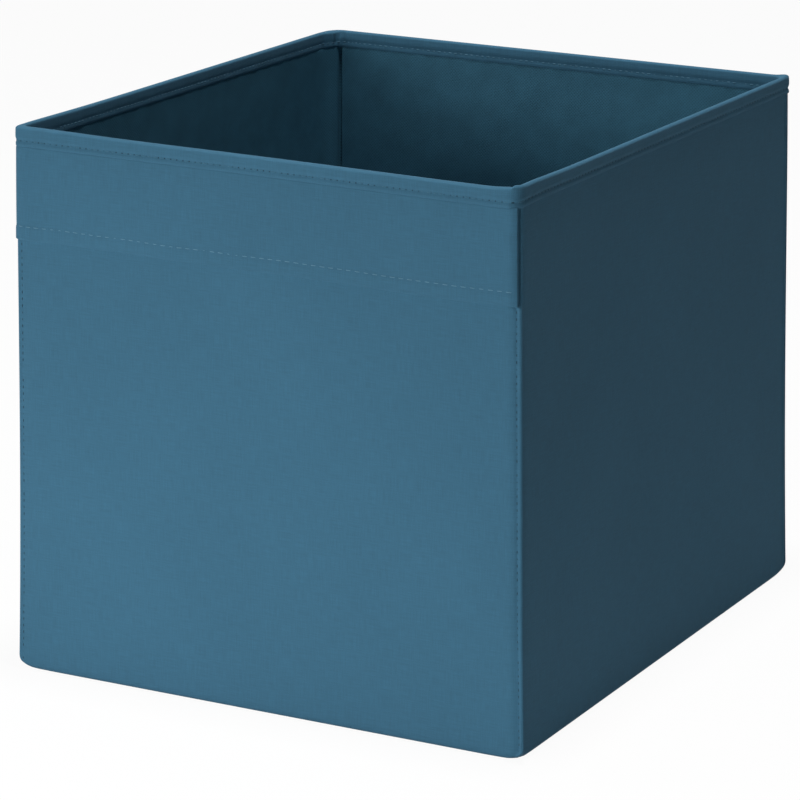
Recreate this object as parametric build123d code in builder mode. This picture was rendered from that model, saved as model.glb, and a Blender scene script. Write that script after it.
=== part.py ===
from build123d import *
import os

os.makedirs("parts", exist_ok=True)

# Open-top fabric storage bin with a pull band across its front, in millimetres.
# Width runs along X, depth along Y with the front facing -Y, and height along +Z.
# The origin lies on the floor, under the middle of the whole bin.
# Each wall is a sandwich: outer cloth, paperboard stiffener, non-woven lining.

# ---------------------------------------------------------------- driving sizes
# Sewn shell, measured over its outer cloth
shell_width = 328.0
shell_depth = 378.0
shell_height = 329.0
cloth_thickness = 0.8
board_thickness = 1.5
lining_thickness = 0.6
corner_radius = 8.0

# Binding folded over the rim
binding_thickness = 1.0
binding_drop = 10.8
binding_rounding = 0.8

# Corner welts: raised edge-stitched ridges down the front and back corners
welt_width = 3.0
welt_height = 1.0
welt_rounding = 0.4
welt_band_gap = 1.5

# Pull band: doubled cloth, sewn in under the rim binding, free at its hemmed lower edge
band_thickness = 1.6
band_reach = 66.0
band_rest_gap = 0.3
band_edge_rounding = 0.5
band_hem_height = 9.5
band_hem_thickness = 0.4

# Loose stiff insert that keeps the bottom flat: a board between two sewn covers
insert_board_thickness = 2.0
insert_cover_thickness = 0.5
insert_wall_gap = 2.5
insert_rest_gap = 0.3
insert_seam_margin = 4.0
insert_corner_radius = 6.0

# Thread runs, each a low continuous line of stitching
thread_width = 0.6
thread_height = 0.3
rim_thread_drop = 7.0
hem_thread_rise = 8.2
corner_thread_inset = 4.6
insert_thread_inset = 2.0

# ---------------------------------------------------------------- shared places
wall_thickness = cloth_thickness + board_thickness + lining_thickness
rim_top = shell_height + binding_thickness
binding_bottom = rim_top - binding_drop
# The front carries the band outside its cloth, so the shell sits half a band back.
shell_centre_y = band_thickness / 2
shell_front_y = shell_centre_y - shell_depth / 2
shell_back_y = shell_centre_y + shell_depth / 2
lining_foot = cloth_thickness + lining_thickness
inner_width = shell_width - 2 * wall_thickness
inner_depth = shell_depth - 2 * wall_thickness
bound_depth = shell_depth + band_thickness
band_bottom = rim_top - band_reach
band_top = binding_bottom - band_rest_gap
band_back_y = shell_front_y - band_rest_gap
band_hem_front_y = band_back_y - band_thickness - band_hem_thickness
insert_foot = lining_foot + insert_rest_gap
insert_seam = insert_foot + insert_cover_thickness
insert_width = inner_width - 2 * insert_wall_gap
insert_depth = inner_depth - 2 * insert_wall_gap

# One plane per wall: origin at the foot of the outer cloth's face, x along the wall,
# y up, normal pointing into the bin.
wall_planes = {
    "front": Plane(origin=(0, shell_front_y, 0), x_dir=(-1, 0, 0), z_dir=(0, 1, 0)),
    "right": Plane(origin=(shell_width / 2, shell_centre_y, 0), x_dir=(0, -1, 0), z_dir=(-1, 0, 0)),
    "back": Plane(origin=(0, shell_back_y, 0), x_dir=(1, 0, 0), z_dir=(0, -1, 0)),
    "left": Plane(origin=(-shell_width / 2, shell_centre_y, 0), x_dir=(0, 1, 0), z_dir=(1, 0, 0)),
}
wall_lengths = {
    "front": shell_width,
    "right": shell_depth,
    "back": shell_width,
    "left": shell_depth,
}
# Front and back welts run from the rounded lower corners up to these heights.
welt_tops = {"front": band_bottom - welt_band_gap, "back": binding_bottom}


def save(name, piece):
    """Label one finished piece and write its STEP file."""
    piece.part.label = name
    export_step(piece.part, f"parts/{name}.step")


def wall_layer(side, cover, thickness, foot):
    """One flat sheet of a wall, lying `cover` inside the outer face and standing on `foot`.

    Front and back sheets run the full width, and the side sheets butt between them.
    """
    butt = 0.0 if side in welt_tops else thickness
    length = wall_lengths[side] - 2 * (cover + butt)
    with BuildPart() as sheet:
        with BuildSketch(wall_planes[side].offset(cover)) as outline:
            with Locations((0, foot)):
                Rectangle(length, shell_height - foot, align=(Align.CENTER, Align.MIN))
            fillet(outline.vertices().group_by(Axis.Y)[0], corner_radius - cover)
        extrude(amount=thickness)
    return sheet


# ---------------------------------------------------------------- outer cloth panels
for side in ("right", "left"):
    save(f"{side}_cloth", wall_layer(side, 0.0, cloth_thickness, 0.0))

# The front and back panels carry the welts in which the corners are edge-stitched.
for side, welt_top in welt_tops.items():
    flat_panel = wall_layer(side, 0.0, cloth_thickness, 0.0)
    with BuildPart() as end_cloth:
        add(flat_panel.part)
        with BuildSketch(wall_planes[side]):
            with Locations((0, (corner_radius + welt_top) / 2)):
                with GridLocations(shell_width - welt_width, 1, 2, 1):
                    RectangleRounded(welt_width, welt_top - corner_radius, welt_rounding)
        extrude(amount=-welt_height)
    save(f"{side}_cloth", end_cloth)

with BuildPart() as floor_cloth:
    with BuildSketch():
        with Locations((0, shell_centre_y)):
            RectangleRounded(
                shell_width - 2 * cloth_thickness,
                shell_depth - 2 * cloth_thickness,
                corner_radius - cloth_thickness,
            )
    extrude(amount=cloth_thickness)
save("floor_cloth", floor_cloth)

# ---------------------------------------------------------------- paperboard stiffeners
for side in wall_planes:
    save(f"{side}_board", wall_layer(side, cloth_thickness, board_thickness, cloth_thickness))

# ---------------------------------------------------------------- non-woven lining
for side in wall_planes:
    lining = wall_layer(side, cloth_thickness + board_thickness, lining_thickness, lining_foot)
    save(f"{side}_lining", lining)

with BuildPart() as floor_lining:
    with BuildSketch(Plane.XY.offset(cloth_thickness)):
        with Locations((0, shell_centre_y)):
            RectangleRounded(
                shell_width - 2 * (cloth_thickness + board_thickness),
                shell_depth - 2 * (cloth_thickness + board_thickness),
                corner_radius - cloth_thickness - board_thickness,
            )
    extrude(amount=lining_thickness)
save("floor_lining", floor_lining)

# ---------------------------------------------------------------- rim binding
# A strip folded over the rim: its slot holds the wall tops and the band's sewn-in edge.
with BuildPart() as rim_binding:
    with BuildSketch(Plane.XY.offset(binding_bottom)):
        Rectangle(shell_width + 2 * binding_thickness, bound_depth + 2 * binding_thickness)
        with Locations((0, shell_centre_y)):
            Rectangle(
                inner_width - 2 * binding_thickness,
                inner_depth - 2 * binding_thickness,
                mode=Mode.SUBTRACT,
            )
    extrude(amount=binding_drop)
    fillet(rim_binding.edges().group_by(Axis.Z)[-1], binding_rounding)
    with BuildSketch(Plane.XY.offset(binding_bottom)):
        Rectangle(shell_width, bound_depth)
        with Locations((0, shell_centre_y)):
            Rectangle(inner_width, inner_depth, mode=Mode.SUBTRACT)
    extrude(amount=shell_height - binding_bottom, mode=Mode.SUBTRACT)
save("rim_binding", rim_binding)

# ---------------------------------------------------------------- pull band
# The sewn-in top edge stays put between the front cloth and the binding.
with BuildPart() as pull_band_header:
    with BuildSketch(Plane.XY.offset(binding_bottom)):
        with Locations((0, shell_front_y)):
            Rectangle(shell_width, band_thickness, align=(Align.CENTER, Align.MAX))
    extrude(amount=shell_height - binding_bottom)
save("pull_band_header", pull_band_header)

# The hanging part swings out from the wall about its upper front edge.
with BuildPart() as pull_band:
    with BuildSketch(Plane.YZ):
        with Locations((band_back_y, band_bottom)):
            Rectangle(band_thickness, band_top - band_bottom, align=(Align.MAX, Align.MIN))
            Rectangle(
                band_thickness + band_hem_thickness,
                band_hem_height,
                align=(Align.MAX, Align.MIN),
            )
    extrude(amount=shell_width / 2, both=True)
    fillet(pull_band.edges().filter_by(Axis.X).group_by(Axis.Z)[0], band_edge_rounding)
save("pull_band", pull_band)

# ---------------------------------------------------------------- loose bottom insert
with BuildPart() as insert_bottom_cover:
    with BuildSketch(Plane.XY.offset(insert_foot)):
        with Locations((0, shell_centre_y)):
            RectangleRounded(insert_width, insert_depth, insert_corner_radius)
    extrude(amount=insert_cover_thickness)
save("insert_bottom_cover", insert_bottom_cover)

with BuildPart() as insert_board:
    with BuildSketch(Plane.XY.offset(insert_seam)):
        with Locations((0, shell_centre_y)):
            RectangleRounded(
                insert_width - 2 * insert_seam_margin,
                insert_depth - 2 * insert_seam_margin,
                insert_corner_radius - insert_seam_margin,
            )
    extrude(amount=insert_board_thickness)
save("insert_board", insert_board)

# The top cover drapes over the board and is sewn flat to the bottom cover around it.
with BuildPart() as insert_top_cover:
    with BuildSketch(Plane.XY.offset(insert_seam)):
        with Locations((0, shell_centre_y)):
            RectangleRounded(insert_width, insert_depth, insert_corner_radius)
    extrude(amount=insert_cover_thickness)
    with BuildSketch(Plane.XY.offset(insert_seam)):
        with Locations((0, shell_centre_y)):
            RectangleRounded(
                insert_width - 2 * (insert_seam_margin - insert_cover_thickness),
                insert_depth - 2 * (insert_seam_margin - insert_cover_thickness),
                insert_corner_radius - insert_seam_margin + insert_cover_thickness,
            )
    extrude(amount=insert_board_thickness + insert_cover_thickness)
    add(insert_board.part, mode=Mode.SUBTRACT)
save("insert_top_cover", insert_top_cover)

# ---------------------------------------------------------------- stitching
# One run round the outside of the binding and one round its inside
with BuildPart() as rim_stitching:
    with BuildSketch(Plane.XY.offset(rim_top - rim_thread_drop)):
        run_width = shell_width + 2 * binding_thickness
        run_depth = bound_depth + 2 * binding_thickness
        Rectangle(run_width + 2 * thread_height, run_depth + 2 * thread_height)
        Rectangle(run_width, run_depth, mode=Mode.SUBTRACT)
        with Locations((0, shell_centre_y)):
            mouth_width = inner_width - 2 * binding_thickness
            mouth_depth = inner_depth - 2 * binding_thickness
            Rectangle(mouth_width, mouth_depth)
            Rectangle(
                mouth_width - 2 * thread_height,
                mouth_depth - 2 * thread_height,
                mode=Mode.SUBTRACT,
            )
    extrude(amount=thread_width)
save("rim_stitching", rim_stitching)

# A run beside each welt, holding the corner's panels together
with BuildPart() as corner_stitching:
    for side, welt_top in welt_tops.items():
        with BuildSketch(wall_planes[side]):
            with Locations((0, (corner_radius + welt_top) / 2)):
                with GridLocations(shell_width - 2 * corner_thread_inset, 1, 2, 1):
                    Rectangle(thread_width, welt_top - corner_radius)
        extrude(amount=-thread_height)
save("corner_stitching", corner_stitching)

# The run that holds the band's hem
with BuildPart() as band_hem_stitching:
    with BuildSketch(Plane.YZ):
        with Locations((band_hem_front_y, band_bottom + hem_thread_rise)):
            Rectangle(thread_height, thread_width, align=(Align.MAX, Align.CENTER))
    extrude(amount=shell_width / 2, both=True)
save("band_hem_stitching", band_hem_stitching)

# The run that closes the insert's covers round the board
with BuildPart() as insert_stitching:
    with BuildSketch(Plane.XY.offset(insert_seam + insert_cover_thickness)):
        with Locations((0, shell_centre_y)):
            RectangleRounded(
                insert_width - 2 * insert_thread_inset,
                insert_depth - 2 * insert_thread_inset,
                insert_corner_radius - insert_thread_inset,
            )
            RectangleRounded(
                insert_width - 2 * (insert_thread_inset + thread_width),
                insert_depth - 2 * (insert_thread_inset + thread_width),
                insert_corner_radius - insert_thread_inset - thread_width,
                mode=Mode.SUBTRACT,
            )
    extrude(amount=thread_height)
save("insert_stitching", insert_stitching)
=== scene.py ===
import math

import bpy
import numpy as np
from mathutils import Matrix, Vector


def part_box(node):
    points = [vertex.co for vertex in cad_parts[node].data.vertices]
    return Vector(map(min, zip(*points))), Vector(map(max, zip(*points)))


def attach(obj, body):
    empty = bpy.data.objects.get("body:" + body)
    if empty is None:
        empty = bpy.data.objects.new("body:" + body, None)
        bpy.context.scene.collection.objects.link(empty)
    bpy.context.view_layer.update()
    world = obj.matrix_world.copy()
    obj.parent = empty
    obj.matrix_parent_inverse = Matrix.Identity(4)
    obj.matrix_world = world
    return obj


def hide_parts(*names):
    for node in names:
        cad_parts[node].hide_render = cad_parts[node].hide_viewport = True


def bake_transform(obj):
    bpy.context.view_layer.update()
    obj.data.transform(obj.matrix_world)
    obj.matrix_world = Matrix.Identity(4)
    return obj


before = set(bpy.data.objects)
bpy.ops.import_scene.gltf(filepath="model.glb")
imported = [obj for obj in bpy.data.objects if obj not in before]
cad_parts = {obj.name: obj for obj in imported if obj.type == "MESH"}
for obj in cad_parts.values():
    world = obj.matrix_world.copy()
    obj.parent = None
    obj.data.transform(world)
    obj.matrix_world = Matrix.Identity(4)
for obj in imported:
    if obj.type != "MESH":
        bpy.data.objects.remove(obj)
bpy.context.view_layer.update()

# ---------------------------------------------------------------- outer panels
# Four panels of plain-woven polyester cloth cover the walls, from under the rim
# binding down and round the foot into the floor seam. The front and back panels end
# at each corner in a welt that is edge-stitched through the side panels' turnings.
cloth_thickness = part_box("right_cloth")[1].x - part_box("right_board")[1].x
wall_half_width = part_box("right_cloth")[1].x
wall_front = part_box("front_board")[0].y - cloth_thickness
wall_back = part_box("back_board")[1].y + cloth_thickness
wall_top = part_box("right_cloth")[1].z
wall_centre_y = (wall_front + wall_back) / 2
wall_half_depth = (wall_back - wall_front) / 2
band_low, band_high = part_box("pull_band")
binding_low, binding_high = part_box("rim_binding")

# The binding draws the mouth in a little, so the walls lean out towards the foot, and
# the corners bow in slightly half way up. The rim is not quite level: its left and its
# front stand a little higher, and the front sags towards its right end.
foot_lean_width = 0.0050
foot_lean_depth = 0.0043
rim_draw = 0.0008
rim_rise = 0.0018
rim_roll = 0.0007
front_sag = 0.0011
corner_bow = 0.0004
front_welt_spread = 0.0026
back_welt_spread = 0.0006
corner_radius = 0.0016
front_corner_radius = 0.0048
foot_corner_radius = 0.0100
foot_corner_height = 0.0085
foot_corner_lift = 0.0005
rim_corner_radius = 0.0100
least_radius = 0.0006
foot_radius = 0.0050
foot_turn = 0.0030
seam_curl = 0.0009
welt_turn = math.radians(60)
front_right_turn = math.radians(52)
welt_stitch_inset = 0.0035
corner_stitch_pitch = 0.0041
panel_blue = (0.045, 0.138, 0.217)
yarn_pitch = 0.00050

side_directions = {
    "front": ((1, 0), (0, -1)),
    "right": ((0, 1), (1, 0)),
    "back": ((-1, 0), (0, 1)),
    "left": ((0, -1), (-1, 0)),
}


def ramp(value, low, high):
    """Smooth step: 0 below low, 1 above high, and 3t squared less 2t cubed between."""
    t = np.clip((value - low) / (high - low), 0, 1)
    return t * t * (3 - 2 * t)


def hump(value, centre, width):
    """Bell curve of height 1: e to the minus ((value - centre) / width) squared."""
    return np.exp(-(((value - centre) / width) ** 2))


def wall_extents(side, height, inset):
    """Half length of a wall and its distance from the middle, at a height and an inset: a
    straight lean with a quicker spread close to the foot, less a bow and a pull at the rim."""
    drop = 1 - height / wall_top
    lean = 0.76 * drop + 0.24 * drop**4
    pull = corner_bow * np.sin(math.pi * np.clip(height / wall_top, 0, 1))
    pull = pull + rim_draw * np.exp((height - wall_top) / 0.05)
    half_width = wall_half_width + foot_lean_width * lean - pull - inset
    half_depth = wall_half_depth + foot_lean_depth * lean - pull - inset
    return (half_width, half_depth) if side in ("front", "back") else (half_depth, half_width)


def tallness(x, y):
    """What heights are multiplied by at a place in plan: a tilt across and a tilt along, and
    a sag that grows along the front wall only."""
    tilt = rim_roll * x / wall_half_width + rim_rise * y / wall_half_depth
    sag = front_sag * ramp(x, -0.03, wall_half_width) * hump(y, -wall_half_depth, 0.012)
    return 1 - (tilt + sag) / wall_top


def plan_radius(side, end, height, inset):
    """Corner radius in plan at one end of a panel, less the inset: small up the wall, larger
    by a square law near the rounded foot, at the rim's rear left corner, and up the front
    right corner."""
    foot = foot_corner_radius * np.clip(1 - height / foot_corner_height, 0, 1) ** 2
    rim = rim_corner_radius * ramp(height, wall_top - 0.05, wall_top - 0.012)
    rim = rim * ((side, end) in (("back", 1), ("left", -1)))
    front = front_corner_radius * ramp(height, 0.02, 0.10)
    front = front * ((side, end) in (("front", 1), ("right", -1)))
    return np.maximum(corner_radius + foot + rim + front - inset, least_radius)


def plan_curve(side, run, half_along, half_across, radius):
    """Place and outward direction in plan: straight along the side to one radius from its
    sharp corner, then round a circle of that radius, run metres from the side's middle."""
    along, out = side_directions[side]
    straight = half_along - radius
    turn = np.clip((np.abs(run) - straight) / radius, 0, None)
    a = np.sign(run) * (np.minimum(np.abs(run), straight) + radius * np.sin(turn))
    b = half_across - radius * (1 - np.cos(turn))
    na = np.sign(run) * np.sin(turn)
    nb = np.cos(turn)
    x = a * along[0] + b * out[0]
    y = a * along[1] + b * out[1]
    return x, y, na * along[0] + nb * out[0], na * along[1] + nb * out[1]


def set_out(x, y, z, nx, ny, push):
    """Points in space: the plan places moved outward by the push, at their heights."""
    return np.stack([x + nx * push, wall_centre_y + y + ny * push, z], axis=-1)


def welt_spread(side, end, height):
    """How far a welt stands out sideways past the side wall, at the two right corners: most
    at the foot, and less up the wall."""
    spread = {("front", 1): front_welt_spread, ("back", -1): back_welt_spread}.get((side, end), 0)
    spread = spread * (1 - 0.25 * ramp(height, 0.10, 0.30))
    top = band_low.z if side == "front" else binding_low.z
    return spread * ramp(height, 0.001, 0.008) * (1 - ramp(height, top - 0.0010, top + 0.0006))


def seam_turn(side, end):
    """How far round each corner a panel's end reaches: the front and back panels go past
    its middle, and the side panels come to meet them."""
    turn = front_right_turn if (side, end) in (("front", 1), ("right", -1)) else welt_turn
    return turn if side in ("front", "back") else math.pi / 2 - turn


def panel_ends(side, heights, insets):
    """First and last run of a panel at each height: minus and plus its half straight
    length and the arc of its own part of each corner."""
    half = wall_extents(side, heights, insets)[0]
    reaches = []
    for end in (-1, 1):
        short = (1 - seam_turn(side, end)) * plan_radius(side, end, heights, insets)
        reaches.append(half + welt_spread(side, end, heights) - short)
    return -reaches[0], reaches[1]


def columns_across(low, high, edge_steps, middle_count):
    """Runs along a wall, row by row: set distances from both ends, even steps between."""
    share = np.linspace(0, 1, middle_count)[None, 1:-1]
    first = low + edge_steps[-1]
    last = high - edge_steps[-1]
    return np.concatenate(
        [low + edge_steps, first + share * (last - first), high - edge_steps[::-1]], axis=1
    )


def wall_waves(side, run, height):
    """Slow unevenness of a board-stiffened wall: five crossing sine waves, fading to
    nothing at the rim, the foot and the corners."""
    draw = np.random.default_rng(sorted(side_directions).index(side) + 11)
    total = np.zeros(np.broadcast(run, height).shape)
    for _ in range(5):
        wave_number = 2 * math.pi / draw.uniform(0.09, 0.24)
        heading = draw.uniform(0, math.pi)
        phase = draw.uniform(0, 2 * math.pi)
        across = run * math.cos(heading) + height * math.sin(heading)
        total = total + np.sin(wave_number * across + phase)
    half = 0.9 * min(wall_half_width, wall_half_depth)
    fade = ramp(height, 0.004, 0.05) * (1 - ramp(height, wall_top - 0.06, wall_top - 0.01))
    return 0.00013 * total * fade * (1 - ramp(np.abs(run), half - 0.03, half + 0.012))


def smooth_piece(name, points, faces, lengths):
    """A smooth mesh of points and faces, with its map of lengths, one for every corner."""
    mesh = bpy.data.meshes.new(name)
    mesh.from_pydata(points.reshape(-1, 3).tolist(), [], faces)
    mesh.uv_layers.new(name="cloth").data.foreach_set("uv", lengths.astype(np.float32).ravel())
    mesh.shade_smooth()
    piece = bpy.data.objects.new(name, mesh)
    bpy.context.scene.collection.objects.link(piece)
    return piece


def mesh_from_grid(name, points, runs, rises, lids=""):
    """Quads over a grid of points, with a map named cloth of lengths in metres. The map has
    one more row or column where the grid wraps. Lids close the first or last row of points,
    behind a sharp edge."""
    rows, columns = points.shape[:2]
    map_rows, map_columns = runs.shape
    i, j = np.meshgrid(np.arange(map_rows - 1), np.arange(map_columns - 1), indexing="ij")
    corners_i = np.stack([i, i, i + 1, i + 1], axis=-1).reshape(-1, 4)
    corners_j = np.stack([j, j + 1, j + 1, j], axis=-1).reshape(-1, 4)
    faces = ((corners_i % rows) * columns + corners_j % columns).tolist()
    map_index = [(corners_i * map_columns + corners_j).ravel()]
    ring = np.arange(columns)
    if "first" in lids:
        faces.append(ring[::-1].tolist())
        map_index.append(ring[::-1])
    if "last" in lids:
        faces.append(((rows - 1) * columns + ring).tolist())
        map_index.append((map_rows - 1) * map_columns + ring)
    lengths = np.stack([runs, rises], axis=-1).reshape(-1, 2)[np.concatenate(map_index)]
    piece = smooth_piece(name, points, faces, lengths)
    if lids:
        mesh = piece.data
        ends = np.zeros(2 * len(mesh.edges), np.int32)
        mesh.edges.foreach_get("vertices", ends)
        rims = (ends.reshape(-1, 2) < columns) | (ends.reshape(-1, 2) >= (rows - 1) * columns)
        sharp = mesh.attributes.new("sharp_edge", "BOOLEAN", "EDGE")
        sharp.data.foreach_set("value", rims.all(axis=1))
    return piece


def thicken(piece, thickness):
    """Gives a sheet its thickness, behind its face."""
    solid = piece.modifiers.new("thickness", "SOLIDIFY")
    solid.thickness = thickness
    solid.offset = -1


def finish_piece(piece, material, slot, body, *nodes):
    """Puts the material on and lets the piece ride and stand for nodes; the slot is not used."""
    piece.data.materials.append(material)
    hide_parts(*nodes)
    if body:
        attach(piece, body)


def new_material(name):
    """A node material: its node tree's nodes, its links and its Principled shader."""
    material = bpy.data.materials.new(name)
    material.use_nodes = True
    nodes = material.node_tree.nodes
    return material, nodes, material.node_tree.links, nodes["Principled BSDF"]


def maths(nodes, links, operation, *inputs):
    """One Math node, fed by numbers or by other nodes' outputs."""
    node = nodes.new("ShaderNodeMath")
    node.operation = operation
    for socket, value in zip(node.inputs, inputs):
        if isinstance(value, (int, float)):
            socket.default_value = value
        else:
            links.new(value, socket)
    return node.outputs[0]


def blend_values(nodes, links, factor, first, second):
    """First where the factor is 0, second where it is 1."""
    mix = nodes.new("ShaderNodeMix")
    links.new(factor, mix.inputs["Factor"])
    links.new(first, mix.inputs["A"])
    links.new(second, mix.inputs["B"])
    return mix.outputs["Result"]


def cloth_lengths(nodes, links):
    """The piece's own map: the vector, and its run and its rise in metres."""
    lengths = nodes.new("ShaderNodeUVMap")
    lengths.uv_map = "cloth"
    apart = nodes.new("ShaderNodeSeparateXYZ")
    links.new(lengths.outputs["UV"], apart.inputs[0])
    return lengths.outputs["UV"], apart.outputs[0], apart.outputs[1]


def streaks(nodes, links, lengths, scale_run, scale_rise, detail):
    """Noise stretched along one direction of the cloth."""
    stretch = nodes.new("ShaderNodeMapping")
    stretch.inputs["Scale"].default_value = (scale_run, scale_rise, 1)
    links.new(lengths, stretch.inputs["Vector"])
    noise = nodes.new("ShaderNodeTexNoise")
    noise.inputs["Scale"].default_value = 1.0
    noise.inputs["Detail"].default_value = detail
    links.new(stretch.outputs[0], noise.inputs["Vector"])
    return noise.outputs["Fac"]


def between(nodes, links, value, low, high):
    """0 where the value is below low, 1 above high, and even steps between."""
    span = nodes.new("ShaderNodeMapRange")
    span.inputs["From Min"].default_value = low
    span.inputs["From Max"].default_value = high
    links.new(value, span.inputs["Value"])
    return span.outputs["Result"]


def roughen(nodes, links, shader, height, strength, distance):
    """Raises the finish by the height, which is worth the distance in metres."""
    bump = nodes.new("ShaderNodeBump")
    bump.inputs["Strength"].default_value = strength
    bump.inputs["Distance"].default_value = distance
    links.new(height, bump.inputs["Height"])
    links.new(bump.outputs[0], shader.inputs["Normal"])


def shade_of(nodes, links, colour, amount, spread):
    """The colour, darker towards amount 0 and lighter towards 1, by the spread each way."""
    mix = nodes.new("ShaderNodeMix")
    mix.data_type = "RGBA"
    mix.inputs[6].default_value = (*[c * (1 - spread) for c in colour], 1)
    mix.inputs[7].default_value = (*[c * (1 + spread) for c in colour], 1)
    links.new(amount, mix.inputs[0])
    return mix.outputs[2]


def needle_holes(nodes, links, run, rise, pitch, levels):
    """1 away from the sewing, falling to 0 in round holes of 0.35 mm radius, one every
    pitch along each of the given levels of rise."""
    beat = maths(nodes, links, "PINGPONG", run, pitch / 2)
    clear = None
    for level in levels:
        off = maths(nodes, links, "SUBTRACT", rise, level)
        square = maths(nodes, links, "MULTIPLY", off, off)
        squares = maths(nodes, links, "MULTIPLY_ADD", beat, beat, square)
        distance = maths(nodes, links, "SQRT", squares)
        one = between(nodes, links, distance, 0.00022, 0.00055)
        clear = one if clear is None else maths(nodes, links, "MULTIPLY", clear, one)
    return clear


def woven_cloth(name, colour, pitch=None, levels=()):
    """Plain weave: where the product of the two yarn waves is positive the warp lies on
    top, elsewhere the weft, and each yarn is round across and slubbed along its length."""
    material, nodes, links, shader = new_material(name)
    lengths, run, rise = cloth_lengths(nodes, links)
    per_metre = math.pi / yarn_pitch
    warp_wave = maths(nodes, links, "SINE", maths(nodes, links, "MULTIPLY", run, per_metre))
    weft_wave = maths(nodes, links, "SINE", maths(nodes, links, "MULTIPLY", rise, per_metre))
    product = maths(nodes, links, "MULTIPLY", warp_wave, weft_wave)
    on_top = nodes.new("ShaderNodeClamp")
    links.new(maths(nodes, links, "MULTIPLY_ADD", product, 2.5, 0.5), on_top.inputs[0])
    warp_round = maths(nodes, links, "ABSOLUTE", warp_wave)
    weft_round = maths(nodes, links, "ABSOLUTE", weft_wave)
    yarns = blend_values(nodes, links, on_top.outputs[0], weft_round, warp_round)
    warp_slub = streaks(nodes, links, lengths, 1500, 90, 2)
    weft_slub = streaks(nodes, links, lengths, 90, 1500, 2)
    slub = blend_values(nodes, links, on_top.outputs[0], weft_slub, warp_slub)
    cloud = streaks(nodes, links, lengths, 9, 7, 3)
    tone = maths(nodes, links, "MULTIPLY", slub, 0.75)
    tone = maths(nodes, links, "MULTIPLY_ADD", cloud, 0.25, tone)
    depth = maths(nodes, links, "MULTIPLY_ADD", yarns, 0.22, -0.11)
    tone = maths(nodes, links, "ADD", tone, depth)
    height = maths(nodes, links, "MULTIPLY_ADD", slub, 0.5, yarns)
    shade = shade_of(nodes, links, colour, tone, 0.40)
    if pitch:
        clear = needle_holes(nodes, links, run, rise, pitch, levels)
        uneven = streaks(nodes, links, lengths, 130, 130, 1)
        filled = between(nodes, links, uneven, 0.38, 0.66)
        clear = maths(nodes, links, "MAXIMUM", clear, filled)
        # Painted shade in the needle holes of the stitching: there the colour falls to a fifth of the
        # cloth's, except where noise leaves some holes filled.
        painted_hole_shade = nodes.new("ShaderNodeMix")
        painted_hole_shade.data_type = "RGBA"
        painted_hole_shade.inputs[6].default_value = (*[c * 0.20 for c in colour], 1)
        links.new(clear, painted_hole_shade.inputs[0])
        links.new(shade, painted_hole_shade.inputs[7])
        shade = painted_hole_shade.outputs[2]
        height = maths(nodes, links, "MULTIPLY_ADD", clear, 4.0, height)
    links.new(shade, shader.inputs["Base Color"])
    links.new(maths(nodes, links, "MULTIPLY_ADD", slub, 0.2, 0.72), shader.inputs["Roughness"])
    roughen(nodes, links, shader, height, 0.35, 0.00012)
    shader.inputs["Specular IOR Level"].default_value = 0.12
    shader.inputs["Sheen Weight"].default_value = 0.03
    shader.inputs["Sheen Roughness"].default_value = 0.5
    return material


def foot_profile(row_step):
    """Heights, insets and tilts of an outer panel from the floor seam to the rim: a curl
    up into the seam, a flat turn under, a quarter circle round the foot, then the wall."""
    curl = np.linspace(math.pi / 2, 0, 5)[:-1]
    turn = np.linspace(math.pi / 2, 0, 9)[:-1]
    rise = np.linspace(foot_radius, wall_top - 0.001, round(wall_top / row_step))
    low = seam_curl * (1 - np.cos(curl))
    heights = np.concatenate([low, foot_radius * (1 - np.sin(turn)), rise])
    under = foot_radius + foot_turn + seam_curl * np.sin(curl)
    insets = np.concatenate([under, foot_radius * (1 - np.cos(turn)), 0 * rise])
    tilts = np.concatenate([math.pi / 2 + curl, turn, 0 * rise])
    return heights[:, None], insets[:, None], tilts[:, None]


def profile_length(heights, insets):
    """Length along a profile, point to point, zero at its first point."""
    steps = np.hypot(np.diff(heights[:, 0]), np.diff(insets[:, 0]))
    return np.concatenate([[0], np.cumsum(steps)])[:, None]


def welt_relief(from_seam, height, top):
    """Relief of a welt: a rounded ridge at the corner, beside it the trough that the edge
    stitching pulls in, wider away from the corner, with a dimple at every stitch, and a low
    crest where the panel turns down into it. It is stronger near the foot."""
    reach = np.where(from_seam < welt_stitch_inset, 0.0011, 0.0027)
    strength = 1 - 0.35 * ramp(height, 0.03, 0.15)
    trough = -0.00110 * strength * hump(from_seam, welt_stitch_inset, reach)
    ridge = 0.00050 * strength * hump(from_seam, 0.0013, 0.0011)
    ridge = ridge + 0.00012 * hump(from_seam, 0.0084, 0.0016)
    beat = 0.5 + 0.5 * np.cos(2 * math.pi * height / corner_stitch_pitch)
    dimple = -0.00025 * beat * hump(from_seam, welt_stitch_inset, 0.0009)
    ends = ramp(height, 0.0005, 0.006) * (1 - ramp(height, top - 0.0005, top + 0.002))
    return (trough + ridge + dimple) * ends


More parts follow.
